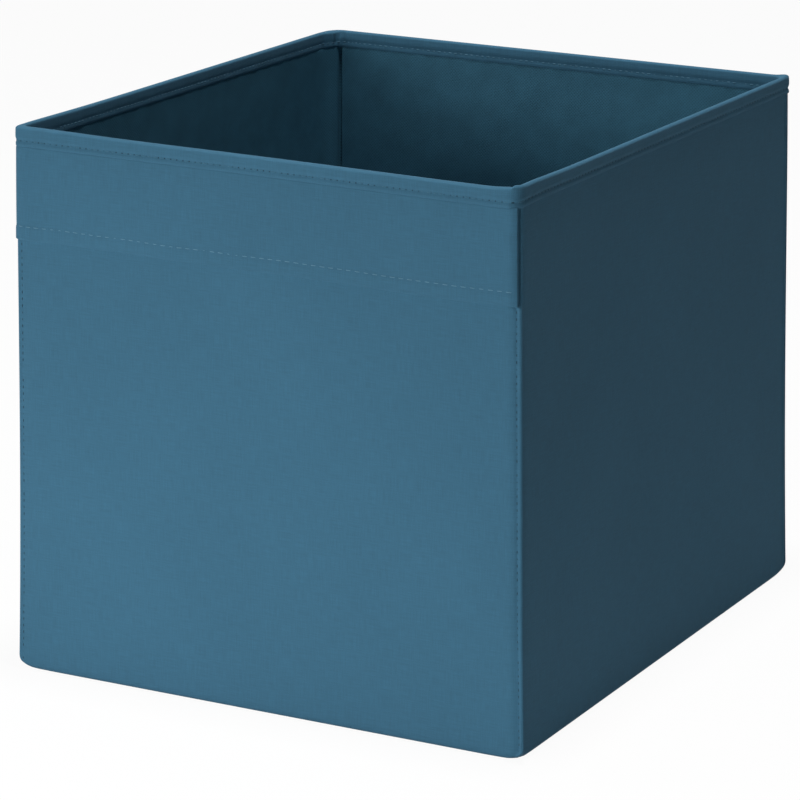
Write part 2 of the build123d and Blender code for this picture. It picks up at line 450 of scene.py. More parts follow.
def corner_relief(side, run, low, high, height):
    """Relief of an outer panel near its two ends: welts on the front and back panels, the
    front's left one nearly flat, a shallow groove on the side panels, and a tuck where the
    pull band is sewn in."""
    from_seam = np.minimum(run - low, high - run)
    behind_band = ramp(height, band_low.z - 0.001, band_low.z + 0.003)
    behind_band = behind_band * (1 - ramp(height, binding_low.z - 0.003, binding_low.z + 0.002))
    if side == "front":
        tuck = -0.0020 * hump(from_seam, 0, 0.0030) * behind_band
        share = np.where(run < 0, 0.12, 1.0)
        crease = 0.00022 * hump(from_seam, 0.0026, 0.0005) * (run < 0)
        return share * welt_relief(from_seam, height, band_low.z) + tuck - crease
    if side == "back":
        return welt_relief(from_seam, height, binding_low.z)
    front_end = run < 0 if side == "right" else run > 0
    groove = -0.00050 * hump(from_seam, 0, 0.0008) - 0.00022 * hump(from_seam, 0.003, 0.002)
    crest = 0.00060 * hump(from_seam, 0.0026, 0.0011) - 0.0006 * hump(from_seam, 0, 0.0009)
    tuck = -0.0012 * hump(from_seam, 0, 0.0010) * behind_band
    if side == "right":
        met = np.where(front_end, welt_spread("front", 1, height), welt_spread("back", -1, height))
        groove = groove + met * hump(from_seam, 0, 0.0016)
    return groove + np.where(front_end, tuck, crest * ramp(height, 0.006, 0.02))


def corner_lift(x, y, height):
    """The foot's corners stand off the floor: a bell curve of the distance in plan from the
    foot's sharp corner, fading out up the wall."""
    off_x = wall_half_width + foot_lean_width - np.abs(x)
    off_y = wall_half_depth + foot_lean_depth - np.abs(y)
    near = np.exp(-(off_x**2 + off_y**2) / 0.012**2)
    return foot_corner_lift * near * (1 - ramp(height, 0, 0.02))


def panel_surface(side, run, heights, insets, tilts):
    """Points of an outer panel: the plan curve at each height, moved along the surface's
    outward normal by the wall's waves and by the relief at its corners."""
    low, high = panel_ends(side, heights, insets)
    half_along, half_across = wall_extents(side, heights, insets)
    radius, spread = [
        np.where(run < 0, ends[0], ends[1])
        for ends in (
            [plan_radius(side, end, heights, insets) for end in (-1, 1)],
            [welt_spread(side, end, heights) + 0 * insets for end in (-1, 1)],
        )
    ]
    x, y, nx, ny = plan_curve(side, run, half_along + spread, half_across, radius)
    relief = wall_waves(side, run, heights) + corner_relief(side, run, low, high, heights)
    push = relief * np.cos(tilts)
    z = heights - relief * np.sin(tilts) + corner_lift(x, y, heights)
    return set_out(x, y, z * tallness(x, y), nx, ny, push)


blue_cloth = woven_cloth("blue_plain_weave", panel_blue)
welt_steps = np.array([0, 4, 8, 12, 16, 20, 25, 30, 35, 40, 46, 52, 60, 72, 90, 120, 180]) * 1e-4
plain_steps = np.array([0, 4, 8, 12, 18, 26, 36, 50, 80, 140]) * 1e-4
for side in side_directions:
    welted = side in ("front", "back")
    heights, insets, tilts = foot_profile(0.0008 if welted else 0.0016)
    low, high = panel_ends(side, heights, insets)
    run = columns_across(low, high, welt_steps if welted else plain_steps, 36)
    points = panel_surface(side, run, heights, insets, tilts)
    rise = profile_length(heights, insets) + 0 * run
    panel = mesh_from_grid(f"{side}_panel", points, run, rise)
    thicken(panel, cloth_thickness)
    finish_piece(panel, blue_cloth, "outer_cloth", "shell", f"{side}_cloth")

# ---------------------------------------------------------------- wall stiffeners
# Four sheets of grey paperboard stand between the outer cloth and the lining. Nothing
# holds them but the seams round them. They lean and bow with the walls.
board_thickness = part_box("right_board")[1].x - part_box("right_board")[0].x
board_grey = (0.36, 0.33, 0.28)
board_end_gap = 0.0105
board_foot_gap = 0.0020
board_head_gap = 0.0004


def paperboard(name):
    """Grey board: fibres as short crossed streaks, with darker and paler flecks."""
    material, nodes, links, shader = new_material(name)
    lengths, _, _ = cloth_lengths(nodes, links)
    fibres = streaks(nodes, links, lengths, 900, 260, 4)
    flecks = streaks(nodes, links, lengths, 420, 420, 2)
    tone = maths(nodes, links, "MULTIPLY", fibres, 0.6)
    tone = maths(nodes, links, "MULTIPLY_ADD", flecks, 0.4, tone)
    links.new(shade_of(nodes, links, board_grey, tone, 0.35), shader.inputs["Base Color"])
    roughen(nodes, links, shader, fibres, 0.3, 0.00005)
    links.new(maths(nodes, links, "MULTIPLY_ADD", fibres, 0.2, 0.75), shader.inputs["Roughness"])
    return material


grey_board = paperboard("grey_paperboard")
board_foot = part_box("right_board")[0].z
board_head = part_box("right_board")[1].z
for side in side_directions:
    up = np.linspace(board_foot + board_foot_gap, board_head - board_head_gap, 60)
    above = np.maximum(foot_radius - up, 0)
    face_inset = cloth_thickness + 0.0001 + foot_radius - np.sqrt(foot_radius**2 - above**2)
    heights = np.concatenate([up, up[::-1]])[:, None]
    insets = np.concatenate([face_inset, face_inset[::-1] + board_thickness - 0.0002])[:, None]
    half_along, half_across = wall_extents(side, heights, insets)
    run = np.linspace(-1, 1, 30)[None, :] * (half_along - board_end_gap)
    x, y, nx, ny = plan_curve(side, run, half_along, half_across, least_radius + 0 * heights)
    push = wall_waves(side, run, heights)
    points = set_out(x, y, heights * tallness(x, y), nx, ny, push).transpose(1, 0, 2)[::-1]
    wrap = np.concatenate([profile_length(heights, insets), [[2 * board_head]]])[:, 0]
    runs = run[0, ::-1, None] + 0 * wrap[None, :]
    board = mesh_from_grid(
        f"{side}_stiffener", points, runs, wrap[None, :] + 0 * runs, lids="first last"
    )
    finish_piece(board, grey_board, "paperboard", "shell", f"{side}_board")

# ---------------------------------------------------------------- lining
# The walls are lined with dark blue spunbonded nonwoven, bonded in small points on a
# diagonal lattice. The side walls' linings turn the rounded corners, and are seamed to
# the front's and the back's just past them.
lining_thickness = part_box("right_board")[0].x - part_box("right_lining")[0].x
wall_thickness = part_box("right_cloth")[1].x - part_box("right_lining")[0].x
floor_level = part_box("floor_lining")[1].z
lining_blue = (0.0460, 0.150, 0.224)
lining_corner_radius = 0.0050
lining_rear_radius = 0.0008
inner_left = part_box("left_lining")[1].x
inner_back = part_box("back_lining")[0].y
bond_pitch = 0.0021
lining_foot_radius = 0.0030
bunch_depth = 0.0050
bunch_length = 0.0170
bunch_width = 0.0260
lining_recess = 0.0006


def nonwoven(name, colour):
    """Bond points where the product of two cosines on a diagonal lattice is high; between
    them loose fibres, as fine streaks in two directions."""
    material, nodes, links, shader = new_material(name)
    lengths, run, rise = cloth_lengths(nodes, links)
    per_metre = 2 * math.pi / bond_pitch
    across = maths(nodes, links, "COSINE", maths(nodes, links, "MULTIPLY", run, per_metre))
    upward = maths(nodes, links, "COSINE", maths(nodes, links, "MULTIPLY", rise, per_metre))
    lattice = maths(nodes, links, "MULTIPLY", across, upward)
    bond = between(nodes, links, lattice, 0.15, 0.65)
    fibres_one = streaks(nodes, links, lengths, 2400, 300, 2)
    fibres_two = streaks(nodes, links, lengths, 300, 2400, 2)
    fibres = maths(nodes, links, "MAXIMUM", fibres_one, fibres_two)
    cloud = streaks(nodes, links, lengths, 60, 60, 3)
    tone = maths(nodes, links, "MULTIPLY", fibres, 0.6)
    tone = maths(nodes, links, "MULTIPLY_ADD", cloud, 0.4, tone)
    tone = maths(nodes, links, "MULTIPLY_ADD", bond, -0.34, tone)
    links.new(shade_of(nodes, links, colour, tone, 0.5), shader.inputs["Base Color"])
    height = maths(nodes, links, "MULTIPLY", fibres, 0.35)
    height = maths(nodes, links, "SUBTRACT", height, bond)
    roughen(nodes, links, shader, height, 0.6, 0.00015)
    rough = maths(nodes, links, "MULTIPLY_ADD", bond, -0.25, 0.85)
    links.new(rough, shader.inputs["Roughness"])
    shader.inputs["Specular IOR Level"].default_value = 0.12
    return material


def rear_left_bunch(x, y):
    """How far to the right the cloth bunched in the rear left corner holds the lining: a
    rise along the left wall's last part, and the same along the back wall's first."""
    near_back = ramp(y, inner_back - bunch_length, inner_back - 0.001)
    near_left = 1 - ramp(x, inner_left, inner_left + bunch_width)
    return bunch_depth * near_back * near_left


lining_cloth = nonwoven("dark_blue_nonwoven", lining_blue)
lining_steps = np.array([0, 3, 6, 9, 13, 18, 24, 30, 38, 48, 58, 66, 70, 74, 78, 84, 100, 140]) * 1e-4
for side in side_directions:
    turn = np.linspace(0, math.pi / 2, 7)[:-1]
    rise = np.linspace(floor_level + lining_foot_radius, wall_top - 0.001, 150)
    foot = lining_foot_radius * (1 - np.cos(turn)) + floor_level
    heights = np.concatenate([foot, rise])[:, None]
    foot_insets = lining_foot_radius * (1 - np.sin(turn))
    insets = wall_thickness + np.concatenate([foot_insets, 0 * rise])[:, None]
    half_along, half_across = wall_extents(side, heights, insets)
    turned = side in ("right", "left")
    low_radius = lining_rear_radius if side == "left" else lining_corner_radius
    high_radius = lining_rear_radius if side == "back" else lining_corner_radius
    low_reach = half_along - low_radius + low_radius * math.pi / 2 * turned
    high_reach = half_along - high_radius + high_radius * math.pi / 2 * turned
    run = columns_across(-low_reach, high_reach, lining_steps, 30)
    radius = np.where(run < 0, low_radius, high_radius)
    x, y, nx, ny = plan_curve(side, run, half_along, half_across, radius)
    from_seam = np.minimum(run + low_reach, high_reach - run)
    bunched = (radius < lining_corner_radius) * 1.0
    groove = 0.0018 * hump(from_seam, 0, 0.0007 - 0.0001 * bunched)
    groove = groove - 0.0002 * hump(from_seam, 0.0030, 0.0018) * (1 - bunched)
    fold = 0.0003 * hump(from_seam, 0.0074, 0.0007) - 0.0004 * hump(from_seam, 0.0015, 0.0006)
    fold = fold * (1 - bunched)
    fade = ramp(heights, 0.004, 0.012) * (1 - ramp(heights, binding_low.z - 0.003, binding_low.z + 0.001))
    push = wall_waves(side, run, heights) + (groove + fold * turned) * fade
    recess = lining_recess + 0.0005 * bunched * hump(from_seam, 0, 0.004)
    push = push + recess * ramp(heights, binding_low.z - 0.0002, binding_low.z + 0.0012)
    x = x + rear_left_bunch(x, y + wall_centre_y) * ramp(heights, 0.004, 0.030)
    points = set_out(x, y, heights * tallness(x, y), nx, ny, push)
    rises = profile_length(heights, insets) + 0 * run
    lining = mesh_from_grid(f"{side}_wall_lining", points[:, ::-1], -run[:, ::-1], rises)
    thicken(lining, lining_thickness - 0.0001)
    finish_piece(lining, lining_cloth, "nonwoven", "shell", f"{side}_lining")

# ---------------------------------------------------------------- floor
# The floor is a sheet of the outer cloth under a sheet of the nonwoven, sewn to the
# panels' turned-in edges all round. Both are flat, with their edges curled up a little
# into the seam.


def ring_columns(spacing):
    """Columns of a closed ring round the four walls, from the front's left corner. For each
    side: its share of the straight, from -1 to 1, and its turn round half of each corner."""
    columns = []
    for side in side_directions:
        half = wall_extents(side, 0, 0)[0]
        straight = np.linspace(-1, 1, 2 * round(half / spacing) + 1)
        corner = np.linspace(0, math.pi / 4, 9)[1:]
        shares = np.concatenate([-1 + 0 * corner, straight, 1 + 0 * corner[:-1]])
        turns = np.concatenate([-corner[::-1], 0 * straight, corner[:-1]])
        columns.append((side, shares[None, :], turns[None, :]))
    return columns


def ring_surface(columns, half_width, half_depth, radius, rear_left=0.0, front_right=0.0):
    """Plan places and outward directions round a rounded rectangle, row by row: on every
    side the run is its share of the straight plus its turn times the corner's radius. The
    rear left corner's radius is larger by rear_left, the front right's by front_right."""
    parts = []
    for side, shares, turns in columns:
        upright = side in ("front", "back")
        half_along = half_width if upright else half_depth
        half_across = half_depth if upright else half_width
        wide = (shares > 0) if side == "back" else (shares < 0) & (side == "left")
        near = (shares > 0) if side == "front" else (shares < 0) & (side == "right")
        own = radius + rear_left * wide + front_right * near
        run = shares * (half_along - own) + turns * own
        parts.append(plan_curve(side, run, half_along, half_across, own))
    return [np.concatenate([part[k] for part in parts], axis=1) for k in range(4)]


def ring_sheet(name, half_width, half_depth, radius, insets, heights, flip, lift=0.0):
    """A flat sheet as rings one inside the other, from the edge to a long narrow middle
    that a lid closes. Its map is its plan."""
    insets = np.asarray(insets)[:, None]
    columns = ring_columns(0.012)
    radii = np.maximum(radius - insets, least_radius)
    x, y, _, _ = ring_surface(columns, half_width - insets, half_depth - insets, radii)
    z = np.asarray(heights)[:, None] + lift * corner_lift(x, y, 0)
    points = np.stack([x, wall_centre_y + y, z], axis=-1)
    points = points[:, ::-1] if flip else points
    wrapped = np.concatenate([points, points[:, :1]], axis=1)
    return mesh_from_grid(name, points, wrapped[..., 0], wrapped[..., 1], lids="last")


floor_inset = foot_radius + foot_turn
edge_insets = floor_inset + seam_curl * np.array([0.15, 0.4, 1.0, 1.8, 3.0])
edge_heights = seam_curl * np.array([1.0, 0.45, 0.08, 0, 0]) + 0.0001
flat_insets = np.linspace(0.02, wall_half_width - 0.004, 12)
outer_floor = ring_sheet(
    "outer_floor",
    wall_half_width + foot_lean_width,
    wall_half_depth + foot_lean_depth,
    corner_radius + foot_corner_radius,
    np.concatenate([edge_insets, flat_insets]),
    np.concatenate([edge_heights, 0.0001 + 0 * flat_insets]),
    flip=True,
    lift=1.0,
)
thicken(outer_floor, cloth_thickness - 0.0002)
finish_piece(outer_floor, blue_cloth, "outer_cloth", "shell", "floor_cloth")

inner_insets = np.concatenate([[0.0, 0.0008, 0.002], np.linspace(0.012, wall_half_width - 0.01, 12)])
inner_floor = ring_sheet(
    "inner_floor",
    wall_half_width + foot_lean_width - wall_thickness - 0.0022,
    wall_half_depth + foot_lean_depth - wall_thickness - 0.0022,
    0.004,
    inner_insets,
    floor_level + 0.0002 * (inner_insets < 0.0005),
    flip=False,
)
thicken(inner_floor, lining_thickness - 0.0001)
finish_piece(inner_floor, lining_cloth, "nonwoven", "shell", "floor_lining")

# ---------------------------------------------------------------- rim binding
# A folded strip of the outer cloth is sewn over the top edge of all four walls. Its
# stitching pulls it in along a line near its lower edge, and it bunches at the corners.
binding_cloth = binding_high.x - wall_half_width
binding_proud = 0.0006
binding_inner_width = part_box("right_lining")[0].x - 0.8 * binding_cloth
binding_inner_depth = (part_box("back_lining")[0].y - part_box("front_lining")[1].y) / 2 - 0.8 * binding_cloth
binding_inner_centre = (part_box("back_lining")[0].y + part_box("front_lining")[1].y) / 2
rim_stitch_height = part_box("rim_stitching")[0].z - 0.0004
rim_stitch_pitch = 0.0041
rim_crown = 0.0014
binding_corner_radius = 0.0032
binding_sheet_thickness = 0.00055


def binding_profile():
    """Height, share of the way across and tilt, from the outer lower edge over a half
    ellipse to the inner lower edge, both edges curled in."""
    leg = np.linspace(binding_low.z + 0.0005, binding_high.z - rim_crown, 12)
    arc = np.linspace(0, math.pi, 13)[1:-1]
    edge = binding_low.z + np.array([0.0001, 0.0])
    crown = binding_high.z - rim_crown + rim_crown * np.sin(arc)
    height = np.concatenate([edge[::-1], leg, crown, leg[::-1], edge])
    share = np.concatenate([[0.07, 0.02], 0 * leg, (1 - np.cos(arc)) / 2, 1 + 0 * leg, [0.98, 0.93]])
    tilt = np.concatenate([[0, 0], 0 * leg, arc, math.pi + 0 * leg, [math.pi, math.pi]])
    return height[:, None], share[:, None], tilt[:, None]


def near_corner(x, y, corner_x, corner_y, reach):
    """Bell curve of the distance in plan from a rim corner."""
    return np.exp(-((x - corner_x) ** 2 + (y - corner_y) ** 2) / reach**2)


def binding_relief(run, height, shares, ahead):
    """Relief of the binding: a line pulled in by the stitches with a pucker at each, small
    uneven gathers along it, and a soft pillow between that line and the top, most of all
    where the outward direction lies ahead."""
    below_top = binding_high.z - height
    line = rim_stitch_height - height
    beat = 0.5 + 0.5 * np.cos(2 * math.pi * run / rim_stitch_pitch)
    gathers = np.sin(2 * math.pi * run / 0.0137 + 1.3 * np.sin(2 * math.pi * run / 0.083))
    gathers = gathers + 0.7 * np.sin(2 * math.pi * run / 0.031 + 2.0)
    pull = -(0.00042 + 0.00012 * beat) * hump(line, 0, 0.0010) * (1 - 0.75 * shares)
    pillow = (0.00006 + 0.00016 * ahead) * hump(below_top, 0.0045, 0.0022)
    pillow = pillow + 0.00012 * hump(height, binding_low.z + 0.0020, 0.0009)
    uneven = 0.00007 * gathers * hump(below_top, 0.0095, 0.004)
    return pull + pillow + uneven


def binding_surface(columns, heights, shares, tilts, run):
    """Points of the binding: a rounded rectangle that narrows across the rim, moved along
    the profile's normal by the relief, and raised or bunched near the corners."""
    outer_width = wall_half_width - rim_draw + binding_proud
    outer_depth = binding_high.y - binding_cloth - rim_draw + binding_proud
    half_width = outer_width + shares * (binding_inner_width - outer_width)
    half_depth = outer_depth + shares * (binding_inner_depth - outer_depth)
    centre_y = shares * binding_inner_centre
    radius = binding_corner_radius + 0.0018 * shares
    rear_left = rim_corner_radius - corner_radius - (rim_corner_radius - 0.0001) * shares
    front_right = front_corner_radius - 0.0070 * shares
    x, y, nx, ny = ring_surface(columns, half_width, half_depth, radius, rear_left, front_right)
    y = y + centre_y
    relief = binding_relief(run, heights, shares, np.abs(ny))
    crossing = ramp(x, binding_high.x - 0.0062, binding_high.x - 0.0053)
    right_end = hump(y, -binding_high.y, 0.045) * crossing
    swell = near_corner(x, y, binding_high.x - 0.006, -binding_high.y + 0.001, 0.009)
    front_left = near_corner(x, y, -binding_high.x, -binding_high.y, 0.060)
    back_right = near_corner(x, y, binding_high.x, binding_high.y, 0.006)
    on_top = ramp(heights, binding_high.z - 0.005, binding_high.z)
    lift = 0.0011 * right_end + 0.0010 * swell + 0.0010 * front_left + 0.0012 * back_right
    lift = lift * on_top
    relief = relief + 0.0009 * back_right * hump(heights, binding_high.z - 0.004, 0.006)
    relief = relief + 0.0008 * back_right * hump(heights, binding_low.z + 0.0008, 0.0014)
    stand_off = 0.0004 * ramp(y, 0.004 - binding_high.y, 0.020 - binding_high.y) * (1 - shares)
    push = relief * np.cos(tilts) + stand_off
    inner = ramp(shares, 0.3, 0.8)
    gathers = np.sin((x - y) * 1500) * near_corner(x, y, inner_left, inner_back, 0.012)
    widening = 0.0010 + 0.0012 * ramp(heights, binding_low.z, binding_high.z)
    fold = near_corner(x, y, inner_left + 0.0006, inner_back - 0.0006, widening)
    above_edge = 0.2 + 0.8 * ramp(heights, binding_low.z + 0.001, binding_low.z + 0.005)
    push = push + (0.0022 * fold + 0.0006 * gathers) * inner * above_edge
    x = x + rear_left_bunch(x, y) * shares
    z = (heights + relief * np.sin(tilts) + lift) * tallness(x, y)
    return np.stack([x + nx * push, y + ny * push, z], axis=-1), nx, ny


def ring_run(x, y):
    """Length round a closed ring of plan places, at each of them and back at the first."""
    steps = np.hypot(np.diff(x, append=x[:1]), np.diff(y, append=y[:1]))
    return np.concatenate([[0], np.cumsum(steps)])


rim_columns = ring_columns(rim_stitch_pitch / 3)
heights, shares, tilts = binding_profile()
rim_x, rim_y, _, _ = ring_surface(rim_columns, binding_high.x, binding_high.y, binding_corner_radius)
rim_run = ring_run(rim_x[0], rim_y[0])
rim_pitch = rim_run[-1] / round(rim_run[-1] / rim_stitch_pitch)
points, _, _ = binding_surface(rim_columns, heights, shares, tilts, rim_run[None, :-1])
across = profile_length(heights, shares * 0.005)
run_map = rim_run[None, :] + 0 * across
outer_rise = float(np.interp(rim_stitch_height, heights[:15, 0], across[:15, 0]))
binding_weave = woven_cloth(
    "binding_plain_weave", panel_blue, pitch=rim_pitch, levels=(outer_rise,)
)
binding = mesh_from_grid("binding_strip", points, run_map, across + 0 * run_map)
thicken(binding, binding_sheet_thickness)
finish_piece(binding, binding_weave, "outer_cloth", "shell", "rim_binding")

# ---------------------------------------------------------------- rim stitching
# Lockstitches of blue polyester thread, about four millimetres long, hold the binding
# on. They show as one row outside and one inside, each stitch sunk at both its ends.
thread_radius = 0.00026
rim_stitch_length = 0.0029
rim_stitch_proud = 0.00016
stitch_unevenness = 0.0003
rim_thread_blue = (0.060, 0.160, 0.238)
inner_thread_blue = (0.100, 0.225, 0.315)


def sewing_thread(name, colour):
    """Two-ply thread: fine diagonal stripes of a helix in the piece's map, softly shaded."""
    material, nodes, links, shader = new_material(name)
    _, run, rise = cloth_lengths(nodes, links)
    slant = maths(nodes, links, "MULTIPLY_ADD", run, 1.6, rise)
    ply = maths(nodes, links, "SINE", maths(nodes, links, "MULTIPLY", slant, 9000.0))
    tone = maths(nodes, links, "MULTIPLY_ADD", ply, 0.3, 0.5)
    links.new(shade_of(nodes, links, colour, tone, 0.35), shader.inputs["Base Color"])
    links.new(maths(nodes, links, "MULTIPLY_ADD", ply, 0.08, 0.5), shader.inputs["Roughness"])
    roughen(nodes, links, shader, ply, 0.4, 0.00008)
    shader.inputs["Specular IOR Level"].default_value = 0.15
    return material


def sew(name, line, normals, pitch, length, radius, proud, uneven=0.0, reach=None):
    """Stitches along a line on the cloth, one in every pitch. Each is a thread whose middle
    stands proud and whose ends sink, as one minus the square of the way along it, with a
    six-sided section that narrows to the ends. They sink by a random part of uneven. The
    pitch is measured along the line, or by reach where it is given."""
    if reach is None:
        steps = np.linalg.norm(np.diff(line, axis=0), axis=1)
        reach = np.concatenate([[0], np.cumsum(steps)])
    count = int(round(reach[-1] / pitch))
    along = np.linspace(-1, 1, 5)
    centres = (np.arange(count) + 0.5) * reach[-1] / count
    stations = centres[:, None] + along[None, :] * length / 2
    places = np.stack([np.interp(stations, reach, line[:, k]) for k in range(3)], axis=-1)
    outs = np.stack([np.interp(stations, reach, normals[:, k]) for k in range(3)], axis=-1)
    outs = outs / np.linalg.norm(outs, axis=-1, keepdims=True)
    ways = places[:, -1:] - places[:, :1]
    ways = ways / np.linalg.norm(ways, axis=-1, keepdims=True)
    sides = np.cross(outs, ways + 0 * outs)
    places = places + outs * (proud * (1 - along**2) - radius * along**2)[None, :, None]
    draw = np.random.default_rng(count)
    places = places - outs * uneven * draw.uniform(0, 1, (count, 1, 1)) ** 2
    places = places + sides * uneven * draw.uniform(-0.4, 0.4, (count, 1, 1)) * along[None, :, None]
    widths = radius * np.sqrt(1 - 0.8 * along**2)
    angles = np.arange(6) * math.pi / 3
    spokes = outs[:, :, None] * np.cos(angles)[:, None] + sides[:, :, None] * np.sin(angles)[:, None]
    points = places[:, :, None] + spokes * widths[None, :, None, None]
    one = np.arange(30).reshape(5, 6)
    nexts = np.roll(one, -1, axis=1)
    quads = np.stack([one[:-1], nexts[:-1], nexts[1:], one[1:]], axis=-1).reshape(-1, 4)
    offsets = np.arange(count)[:, None, None] * 30
    faces = (quads[None] + offsets).reshape(-1, 4).tolist()
    faces += (one[:1, ::-1][None] + offsets).reshape(-1, 6).tolist()
    faces += (one[-1:][None] + offsets).reshape(-1, 6).tolist()
    run = stations[:, :, None] + 0 * angles
    round_thread = radius * angles + 0 * run
    corner = np.array([v for face in faces for v in face])
    lengths = np.stack([run.ravel(), round_thread.ravel()], axis=-1)[corner]
    return smooth_piece(name, points, faces, lengths)


rim_thread = sewing_thread("rim_thread", rim_thread_blue)
inner_thread = sewing_thread("inner_rim_thread", inner_thread_blue)
stitch_row = np.array([[rim_stitch_height]])
for name, share, tilt, thread in (
    ("rim_stitches_outside", 0.0, 0.0, rim_thread),
    ("rim_stitches_inside", 1.0, math.pi, inner_thread),
):
    row, nx, ny = binding_surface(
        rim_columns, stitch_row, np.array([[share]]), np.array([[tilt]]), rim_run[None, :-1]
    )
    outward = math.cos(tilt)
    normals = np.stack([nx * outward, ny * outward, 0 * nx], axis=-1)[0]
    line = np.concatenate([row[0], row[0, :1]])
    normals = np.concatenate([normals, normals[:1]])
    shape = (rim_pitch, rim_stitch_length, thread_radius, rim_stitch_proud, stitch_unevenness)
    stitches = sew(name, line, normals, *shape, rim_run)
    finish_piece(stitches, thread, "thread", "shell", "rim_stitching")

# ---------------------------------------------------------------- corner stitching
# One row of the same stitches runs down each edge of the front and the back, holding the
# welt flat. Each row lies in the trough that it pulls in, its thread darkened as painted shade of that
# trough.
welt_stitch_length = 0.0024
low_stitch_proud = 0.00012
corner_thread_radius = 0.00024
# Painted shade: the corner thread's colour is far darker than the other threads' and stands for the shade in
# the stitched trough.
corner_shade_blue = (0.012, 0.036, 0.060)
corner_shade_thread = sewing_thread("corner_shade_thread", corner_shade_blue)
for side, end in (("front", -1), ("front", 1), ("back", -1), ("back", 1)):
    top = band_low.z - 0.001 if side == "front" else binding_low.z + 0.001
    heights = np.linspace(0.0045, top, 420)[:, None]
    low, high = panel_ends(side, heights, 0)
    run = low + welt_stitch_inset if end < 0 else high - welt_stitch_inset
    line = panel_surface(side, run, heights, 0 * heights, 0 * heights)[:, 0]
    out = side_directions[side][1]
    normals = np.array([[out[0], out[1], 0.0]]) + np.zeros((420, 1))
    corner = "left" if (side == "front") == (end < 0) else "right"
    name = f"{side}_{corner}_welt_stitches"
    shape = (corner_stitch_pitch, welt_stitch_length, corner_thread_radius, low_stitch_proud)
    stitches = sew(name, line, normals, *shape, stitch_unevenness)
    finish_piece(stitches, corner_shade_thread, "thread", "shell", "corner_stitching")

# ---------------------------------------------------------------- pull band
# A doubled band of the outer cloth hangs across the front as a pull. Its top edge is
# caught under the binding, its ends in the corner seams, and its lower edge is a hem.
band_gap = 0.0003
band_proud = 0.0016
band_top = binding_low.z + 0.0007
hem_proud = 0.0019
hem_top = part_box("band_hem_stitching")[0].z + 0.0012
hem_stitch_height = (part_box("band_hem_stitching")[0].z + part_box("band_hem_stitching")[1].z) / 2
hem_stitch_pitch = 0.0055
hem_stitch_length = 0.0046
hem_thread_radius = 0.00025
hem_stitch_proud = 0.00020
hem_thread_blue = (0.118, 0.250, 0.340)


def band_waves(run, low, high, height):
    """How far the band stands off beyond its rest: long waves growing to the hem, faint
    slanting folds below the rim, and fine upright ridges by the left seam."""
    drop = ramp(band_high.z - height, 0.004, band_high.z - band_low.z)
    from_left = run - low
    from_right = high - run
    free = ramp(from_left, 0.004, 0.03) * ramp(from_right, 0.004, 0.03)
    middle = ramp(np.abs(run), 0.0, 0.012)
    long = 0.5 + 0.5 * np.sin(2 * math.pi * run / 0.094 + 0.8)
    long = long + 0.5 * np.sin(2 * math.pi * run / 0.057 + 2.1)
    slant = run * 0.80 + (band_high.z - height) * 0.60
    folds = np.sin(2 * math.pi * slant / 0.021) * hump(run, -0.085, 0.045)
    folds = folds + 0.6 * np.sin(2 * math.pi * (run * 0.9 - height * 0.4) / 0.027) * hump(run, 0.06, 0.06)
    folds = folds * hump(band_high.z - height, 0.024, 0.022)
    ridges = np.sin(2 * math.pi * from_left / 0.0021) * hump(from_left, 0.007, 0.0035)
    return (
        0.00045 * drop * free * (long * middle + ramp(run, 0.02, 0.12))
        + 0.00018 * folds * free * middle
        + 0.00005 * ridges * ramp(band_high.z - height, 0.0, 0.012)
    )


def band_edge(run):
    """Height of the hem's lower fold: nearly straight, with a slow wave."""
    wave = np.sin(2 * math.pi * run / 0.131 + 0.5) + 0.5 * np.sin(2 * math.pi * run / 0.047)
    return band_low.z + 0.00025 * wave * ramp(np.abs(run), 0.0, 0.012)


def band_points(run_shares, levels, prouds):
    """Points of the band: the front wall's plan curve set out by prouds, at levels from 0 at
    the fold to 1 at the top, drawn into the corner seams at both ends."""
    nominal = band_low.z + levels * (band_top - band_low.z)
    low, high = panel_ends("front", nominal, -prouds)
    run = low + run_shares * (high - low)
    heights = band_edge(run) + levels * (band_top - band_edge(run))
    half_along, half_across = wall_extents("front", heights, -prouds)
    radius = plan_radius("front", 1, heights, -prouds)
    x, y, nx, ny = plan_curve("front", run, half_along, half_across, radius)
    left_tuck = 0.0010 * hump(run - low, 0, 0.0014)
    right_tuck = 0.0022 * (1 - ramp(high - run, 0.0008, 0.0020))
    right_tuck = right_tuck * np.clip(prouds / band_proud, 0, 1)
    push = wall_waves("front", run, heights) + band_waves(run, low, high, heights)
    push = push * ramp(prouds, -0.0005, 0.0002) - left_tuck - right_tuck
    stitch = 0.00036 * hump(heights, hem_stitch_height, 0.0009) * (prouds > 0.001)
    push = push - stitch
    hanging = ramp(binding_low.z - heights, -0.0006, 0.0006) * ramp(prouds, 0.0002, 0.0010)
    x = x - 0.0016 * (1 - ramp(run - low, 0.0015, 0.012)) * hanging
    return set_out(x, y, heights * tallness(x, y), nx, ny, push), run, nx, ny


def band_half(shares, levels, prouds):
    """Grid of one half of the band as a closed loop of levels and prouds carried along it."""
    points, run, _, _ = band_points(shares[:, None], levels[None, :], prouds[None, :])
    lengths = profile_length(levels[:, None] * (binding_low.z - band_low.z), prouds[:, None])[:, 0]
    around = np.concatenate([lengths, [lengths[-1] + prouds[0] - prouds[-1]]])
    mean_run = run.mean(axis=1)[:, None]
    return points, mean_run + 0 * around, around + 0 * mean_run


